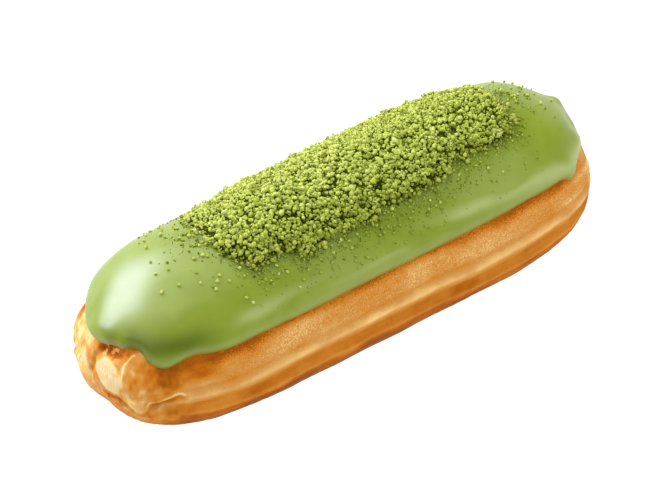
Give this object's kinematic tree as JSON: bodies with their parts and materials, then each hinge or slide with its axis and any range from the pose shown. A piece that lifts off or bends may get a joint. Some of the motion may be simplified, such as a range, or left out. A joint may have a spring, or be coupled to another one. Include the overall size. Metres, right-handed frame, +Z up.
{
  "type": "eclair",
  "caption": "Choux eclair with a smooth pale green matcha glaze and a crumbly green topping along its crown.",
  "frame": {"origin": "centre of the flat sole, on the surface the eclair rests on", "axes": "X along the bun, the piping tail at its -X end; Y across it, to the back; Z up"},
  "size_m": [0.1303, 0.0434, 0.04],
  "materials": {
    "choux": null,
    "glaze": null,
    "crumbs": null
  },
  "bodies": {
    "root": {"choux_bun": "choux", "matcha_glaze": "glaze", "matcha_crumbs": "crumbs"}
  },
  "joints": []
}
